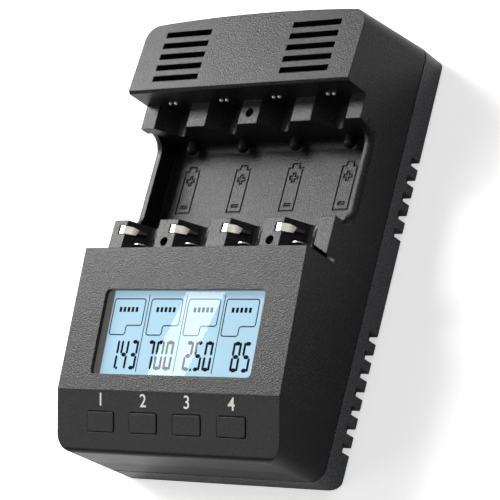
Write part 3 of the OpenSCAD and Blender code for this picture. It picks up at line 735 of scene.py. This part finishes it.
class CHARGER_OT_display(bpy.types.Operator):
    """Lit display panel under the clear window, with outlines and numbers"""

    bl_idname = "charger.display"
    bl_label = "Display"

    def execute(self, context):
        need("display_glass", "display_window")
        sizes, colours = context.scene.charger_sizes, context.scene.charger_colours
        dress("display_window", window_finish())
        low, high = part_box("display_glass")
        half = (high.x - low.x) / 2 / MM
        ink = sizes.ink / MM
        top = PANEL_DEPTH + ink + PANEL_CLEARANCE
        near, far = PANEL_ENDS
        panel = rounded_path([(-half, near), (half, near), (half, far), (-half, far)], PANEL_ROUND)
        points, faces = slab(panel, top, PANEL_UNDERSIDE, display_point)
        lit = lit_panel_finish(tuple(colours.lit))
        glass = mesh_piece("lit_panel", points, faces, lit)
        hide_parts("display_glass")

        stroke = sizes.stroke / MM
        parts = []
        for left, right, step in CELL_OUTLINES:
            outline = [(left, OUTLINE_TOP), (right, OUTLINE_TOP), (right, OUTLINE_STEP),
                       (step, OUTLINE_STEP), (step, OUTLINE_FOOT), (left, OUTLINE_FOOT)]
            path = rounded_path(outline, OUTLINE_ROUND)
            parts.append(band(path, stroke, top - ink, top - MARK_LIFT, display_point))
        bars = []
        dots = [(x - DIVIDER_HALF, x + DIVIDER_HALF, *DIVIDER_ENDS) for x in DIVIDERS]
        for left, _, _ in CELL_OUTLINES:
            starts = left + MARK_START + MARK_PITCH * np.arange(MARKS)
            dots += [(x, x + MARK_WIDTH, *MARK_ENDS) for x in starts]
        for text, x0, x1 in READINGS:
            more, points_of = digit_bars(text, x0, x1, READING_TOP, sizes.digit_height / MM,
                                         UPRIGHT_BAR, LEVEL_BAR)
            bars += more
            dots += points_of
        shapes = np.concatenate([bar_corners(bars), rect_corners(dots)])
        parts.append(prisms(shapes, top - ink, top - MARK_LIFT, display_point))
        parts = [(p, outward(p, f)) for p, f in parts]
        points, faces = merged(parts)
        marks = ink_finish("display marks", tuple(colours.segment), 0.5, gloss=0.0)
        mesh_piece("display_marks", points, faces, marks)
        return {"FINISHED"}


def slab(path, top, bottom, place, rim=0.06):
    """A closed plate over a closed path: rings at the depths bottom, top plus
    the rim and top, the last drawn in by the rim, and a cap of quads that
    join opposite points of the path."""
    centre = path.mean(axis=0)
    inward = centre - path
    inward /= np.linalg.norm(inward, axis=1)[:, None]
    inner = path + inward * rim
    n = len(path)
    rings = [place(path[:, 0], path[:, 1], bottom), place(path[:, 0], path[:, 1], top + rim),
             place(inner[:, 0], inner[:, 1], top)]
    points = np.concatenate(rings)
    i = np.arange(n)
    j = (i + 1) % n
    walls = [np.stack([a * n + i, a * n + j, (a + 1) * n + j, (a + 1) * n + i], axis=1)
             for a in (0, 1)]
    k = np.arange(n // 2 - 1)
    strip = np.stack([k, k + 1, n - 2 - k, n - 1 - k], axis=1)
    caps = [2 * n + strip, strip[:, ::-1]]
    faces = np.concatenate(walls + caps)
    return points, outward(points, faces)


def numeral(text, height, thickness):
    """Points and triangles of a plain numeral, drawn flat and centred, its
    outline filled and given the thickness; doubles are merged."""
    curve = bpy.data.curves.new("numeral", "FONT")
    curve.body = text
    curve.size = height / NUMERAL_SHARE
    curve.align_x = "CENTER"
    curve.extrude = thickness / 2
    curve.offset = height * 0.008
    curve.resolution_u = 5
    flat = bpy.data.objects.new("numeral", curve)
    bpy.context.scene.collection.objects.link(flat)
    graph = bpy.context.evaluated_depsgraph_get()
    mesh = bpy.data.meshes.new_from_object(flat.evaluated_get(graph))
    work = bmesh.new()
    work.from_mesh(mesh)
    bmesh.ops.remove_doubles(work, verts=work.verts, dist=height * 0.0005)
    bmesh.ops.recalc_face_normals(work, faces=work.faces)
    bmesh.ops.triangulate(work, faces=work.faces)
    work.to_mesh(mesh)
    work.free()
    points = np.empty(len(mesh.vertices) * 3, np.float32)
    mesh.vertices.foreach_get("co", points)
    faces = np.empty(len(mesh.polygons) * 3, np.int32)
    mesh.loops.foreach_get("vertex_index", faces)
    bpy.data.objects.remove(flat)
    bpy.data.curves.remove(curve)
    bpy.data.meshes.remove(mesh)
    points = points.reshape(-1, 3)
    points[:, 1] -= (points[:, 1].min() + points[:, 1].max()) / 2
    return points, faces.reshape(-1, 3)


class CHARGER_OT_numbers(bpy.types.Operator):
    """Plain numbers printed on the button face, one above each button"""

    bl_idname = "charger.numbers"
    bl_label = "Numbers"

    def execute(self, context):
        sizes, colours = context.scene.charger_sizes, context.scene.charger_colours
        parts = []
        for n in range(1, 5):
            low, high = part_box("button_%d" % n)
            flat, faces = numeral(str(n), sizes.number_height / MM, sizes.ink / MM)
            x = flat[:, 0] + (low.x + high.x) / 2 / MM
            depth = -flat[:, 2] - sizes.ink / MM / 2
            parts.append((button_point(x, NUMBER_AT - flat[:, 1], depth), faces))
        points, faces = merged(parts)
        ink = ink_finish("number ink", tuple(colours.number), 0.5)
        mesh_piece("printed_numbers", points, outward(points, faces), ink)
        return {"FINISHED"}


# Studio.

# The camera's place (mm), its right, down and forward directions, and its
# focal length in pixels of a picture PICTURE_PX wide.
CAMERA_AT = (491.21, -233.44, 563.41)
CAMERA_ROWS = ((0.77077, 0.23871, -0.59071), (-0.00949, -0.92275, -0.38527),
               (-0.63704, 0.30256, -0.70897))
FOCAL_PX = 2578.02
PICTURE_PX = 500.0
SENSOR_MM = 36.0

# Brightness of the lamps' panels, of the room, and of what is added to the
# floor where it is seen. A level of 1 is white.
KEY_LEVEL = 17.0
LOW_LEVEL = 10.0
FOLD_LEVEL = 1.8
TOP_LEVEL = 0.7
EDGE_LEVEL = 13.0
GLARE_LEVEL = 5.0
ROOM_LEVEL = 0.08
FLOOR_LEVEL = 0.58
# Share of the floor's added brightness that its reflections show.
MIRRORED_SHARE = 0.10

# The point that the lamps face, and how far the two that are placed by
# direction stand from it (m).
MIDDLE = (0.0, 0.0, 0.03)
LAMP_REACH = 1.3
WARM = (1.0, 0.985, 0.98)
ALONG_X, ALONG_Y, ASLANT = (1.0, 0.0, 0.0), (0.0, 1.0, 0.0), (0.0, 0.94, -0.35)
# Those two: direction, and width and height.
KEY_DIRECTION, KEY_SIZE = (-0.70, 0.298, 0.650), (0.30, 0.84)
EDGE_DIRECTION, EDGE_SIZE = (-0.627, 0.010, 0.779), (0.06, 0.80)
# Lamps that stand at a point: name, place, direction of the width, width,
# height, level and tint.
PLACED_LAMPS = (
    ("top_box", (0.42, 0.40, 1.30), ALONG_X, 1.0, 0.9, TOP_LEVEL, (1.0, 1.0, 1.0)),
    ("low_box", (-1.08, 0.56, 0.52), ALONG_Y, 0.42, 0.36, LOW_LEVEL, WARM),
    ("fold_box", (-0.82, -0.50, 0.92), ALONG_Y, 0.42, 0.60, FOLD_LEVEL, (1.0, 1.0, 1.0)),
)
# The glare on the window: the x and the distances down the face (mm) of its
# two ends, and the point that its lamp faces. Then the lamp's distance from
# the camera's mirror image as a multiple of the window's, its length as a
# multiple of the glare's there, and its height (m).
GLARE_X, GLARE_S, GLARE_AIM = (7.05, -1.7), (14.2, 37.5), (2.7, 25.9)
GLARE_BEYOND, GLARE_OVERRUN, GLARE_HEIGHT = 2.25, 1.5, 0.0222

# The floor: radius of its level part, of its bend, and the wall's rise (m),
# and how far it lies under the object, so that no two faces share a plane.
FLOOR_FLAT, FLOOR_BEND, FLOOR_RISE, FLOOR_DROP = 2.0, 0.9, 1.4, 0.00005


def soft_box(name, at, towards, side, width, height, level, tint=(1.0, 1.0, 1.0)):
    """Area lamp at a point, facing another, with its width along side. Its
    power is four times its area times the brightness of its panel."""
    lamp = bpy.data.lights.new(name, "AREA")
    lamp.shape = "RECTANGLE"
    lamp.size, lamp.size_y = width, height
    lamp.energy = 4.0 * width * height * level
    lamp.color = tint
    obj = bpy.data.objects.new(name, lamp)
    bpy.context.scene.collection.objects.link(obj)
    at, side = Vector(at), Vector(side)
    back = (at - Vector(towards)).normalized()
    side = (side - side.dot(back) * back).normalized()
    up = back.cross(side)
    turn = Matrix((side, up, back)).transposed().to_4x4()
    obj.matrix_world = Matrix.Translation(at) @ turn


def mirrored_in_display(points, beyond):
    """Where things stand that the camera sees mirrored at points of the clear
    window: on the rays from the camera's mirror image through the points,
    beyond times as far from it."""
    normal = np.array([0.0, -math.sin(DISPLAY_SLOPE), math.cos(DISPLAY_SLOPE)])
    eye = np.array(CAMERA_AT) * MM
    edge = display_point(0.0, 0.0, WINDOW_DEPTH)
    image = eye - 2.0 * np.dot(eye - edge, normal) * normal
    return image + (points - image) * beyond


def shown_level(f, lit, level):
    """Adds plain brightness to a shader: all of it for rays from the camera,
    so that the backdrop is white, and MIRRORED_SHARE of it for the rays of
    gloss and glass."""
    path = f.add("ShaderNodeLightPath")
    some = f.add("ShaderNodeMath", operation="MAXIMUM")
    f.join(path.outputs["Is Transmission Ray"], some.inputs[0])
    f.join(path.outputs["Is Glossy Ray"], some.inputs[1])
    part = f.add("ShaderNodeMath", operation="MULTIPLY")
    f.join(some.outputs["Value"], part.inputs[0])
    part.inputs[1].default_value = MIRRORED_SHARE
    shown = f.add("ShaderNodeMath", operation="MAXIMUM")
    f.join(part.outputs["Value"], shown.inputs[0])
    f.join(path.outputs["Is Camera Ray"], shown.inputs[1])
    amount = f.add("ShaderNodeMath", operation="MULTIPLY")
    f.join(shown.outputs["Value"], amount.inputs[0])
    amount.inputs[1].default_value = level
    glow = f.add("ShaderNodeEmission")
    glow.inputs["Color"].default_value = (1.0, 1.0, 1.0, 1.0)
    f.join(amount.outputs["Value"], glow.inputs["Strength"])
    both = f.add("ShaderNodeAddShader")
    f.join(lit, both.inputs[0])
    f.join(glow.outputs["Emission"], both.inputs[1])
    f.join(both.outputs["Shader"], f.out.inputs["Surface"])


def floor_finish(colour, level):
    """Matt paper floor, with plain brightness added where it is seen, and
    clear from below, so that the underside of what stands on it shows."""
    f = Finish("paper floor")
    matt = f.add("ShaderNodeBsdfDiffuse")
    paper = f.noise(40.0, detail=3.0)
    f.join(f.between(paper, scaled(colour, 0.99), colour), matt.inputs["Color"])
    shown_level(f, matt.outputs["BSDF"], level)
    above = f.out.inputs["Surface"].links[0].from_socket
    clear = f.add("ShaderNodeBsdfTransparent")
    mix = f.add("ShaderNodeMixShader")
    f.join(f.add("ShaderNodeNewGeometry").outputs["Backfacing"], mix.inputs["Fac"])
    f.join(above, mix.inputs[1])
    f.join(clear.outputs["BSDF"], mix.inputs[2])
    f.join(mix.outputs["Shader"], f.out.inputs["Surface"])
    return f.material


def bowl(flat, bend, rise, steps=96):
    """Floor and backdrop in one: a profile that is level as far as flat, then
    a quarter circle of radius bend, then straight up by rise, carried round
    the vertical axis."""
    a = np.linspace(0.0, math.pi / 2, 13)
    r = np.concatenate([[0.02, 0.3, 1.0], flat + bend * np.sin(a), [flat + bend]])
    z = np.concatenate([[0.0, 0.0, 0.0], bend * (1.0 - np.cos(a)), [bend + rise]]) - FLOOR_DROP
    t = np.linspace(0.0, 2.0 * math.pi, steps + 1)[:-1]
    points = np.stack([np.outer(r, np.cos(t)), np.outer(r, np.sin(t)),
                       np.outer(z, np.ones(steps))], axis=-1)
    i, j = np.meshgrid(np.arange(len(r) - 1), np.arange(steps), indexing="ij")
    k = (j + 1) % steps
    faces = np.stack([i * steps + j, (i + 1) * steps + j, (i + 1) * steps + k, i * steps + k],
                     axis=-1).reshape(-1, 4)
    m = np.arange(steps // 2 - 1)
    cap = np.stack([m, m + 1, steps - 2 - m, steps - 1 - m], axis=1)
    return points.reshape(-1, 3), np.concatenate([faces, cap])


class CHARGER_OT_studio(bpy.types.Operator):
    """Pale floor, soft boxes, even surroundings and the camera"""

    bl_idname = "charger.studio"
    bl_label = "Studio"

    def execute(self, context):
        scene = context.scene
        colour = tuple(scene.charger_colours.floor)
        points, faces = bowl(FLOOR_FLAT, FLOOR_BEND, FLOOR_RISE)
        floor = bpy.data.objects.new("floor", bpy.data.meshes.new("floor"))
        floor.data.from_pydata(points.tolist(), [], faces.tolist())
        floor.data.polygons.foreach_set("use_smooth", np.full(len(faces), True))
        floor.data.materials.append(floor_finish(colour, FLOOR_LEVEL))
        scene.collection.objects.link(floor)

        middle = Vector(MIDDLE)
        key_at = Vector(KEY_DIRECTION).normalized()
        soft_box("key_box", middle + key_at * LAMP_REACH, middle, ASLANT, *KEY_SIZE,
                 KEY_LEVEL, WARM)
        for name, at, side, width, height, level, tint in PLACED_LAMPS:
            soft_box(name, at, middle, side, width, height, level, tint)
        edge_at = Vector(EDGE_DIRECTION)
        soft_box("edge_strip", middle + edge_at * LAMP_REACH, middle, ASLANT, *EDGE_SIZE,
                 EDGE_LEVEL)
        ends = display_point(np.array(GLARE_X), np.array(GLARE_S), WINDOW_DEPTH)
        far = mirrored_in_display(ends, GLARE_BEYOND)
        along = Vector(far[0] - far[1])
        soft_box("glare_strip", far.mean(axis=0), display_point(*GLARE_AIM, WINDOW_DEPTH), along,
                 along.length * GLARE_OVERRUN, GLARE_HEIGHT, GLARE_LEVEL)

        world = bpy.data.worlds.new("surroundings")
        scene.world = world
        world.use_nodes = True
        background = world.node_tree.nodes["Background"]
        background.inputs["Color"].default_value = (1.0, 1.0, 1.0, 1.0)
        background.inputs["Strength"].default_value = ROOM_LEVEL

        data = bpy.data.cameras.new("camera")
        data.sensor_fit = "HORIZONTAL"
        data.sensor_width = SENSOR_MM
        data.lens = FOCAL_PX / PICTURE_PX * SENSOR_MM
        data.clip_end = 20.0
        camera = bpy.data.objects.new("camera", data)
        scene.collection.objects.link(camera)
        right, down, ahead = np.array(CAMERA_ROWS)
        turn = np.stack([right, -down, -ahead], axis=1)
        rows = [[*turn[i], CAMERA_AT[i] * MM] for i in range(3)]
        camera.matrix_world = Matrix(rows + [[0.0, 0.0, 0.0, 1.0]])
        scene.camera = camera
        scene.view_settings.view_transform = "Standard"
        return {"FINISHED"}


class CHARGER_PT_panel(bpy.types.Panel):
    """Lists the operators and the sizes and colours they use"""

    bl_idname = "CHARGER_PT_panel"
    bl_label = "Battery charger"
    bl_space_type = "VIEW_3D"
    bl_region_type = "UI"
    bl_category = "Charger"

    def draw(self, context):
        layout = self.layout
        for operator in OPERATORS:
            layout.operator(operator.bl_idname)
        for group in (context.scene.charger_sizes, context.scene.charger_colours):
            box = layout.box()
            for name in group.__annotations__:
                box.prop(group, name)


OPERATORS = (CHARGER_OT_shells, CHARGER_OT_buttons, CHARGER_OT_contacts, CHARGER_OT_inside,
             CHARGER_OT_display, CHARGER_OT_numbers, CHARGER_OT_studio)
CLASSES = (ChargerSizes, ChargerColours) + OPERATORS + (CHARGER_PT_panel,)


def register():
    for cls in CLASSES:
        bpy.utils.register_class(cls)
    bpy.types.Scene.charger_sizes = PointerProperty(type=ChargerSizes)
    bpy.types.Scene.charger_colours = PointerProperty(type=ChargerColours)


def unregister():
    del bpy.types.Scene.charger_colours
    del bpy.types.Scene.charger_sizes
    for cls in reversed(CLASSES):
        bpy.utils.unregister_class(cls)


def main():
    register()
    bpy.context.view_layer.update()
    bpy.ops.charger.shells()
    bpy.ops.charger.buttons()
    bpy.ops.charger.contacts()
    bpy.ops.charger.inside()
    bpy.ops.charger.display()
    bpy.ops.charger.numbers()
    bpy.ops.charger.studio()
    bpy.context.view_layer.update()


if __name__ == "__main__":
    main()
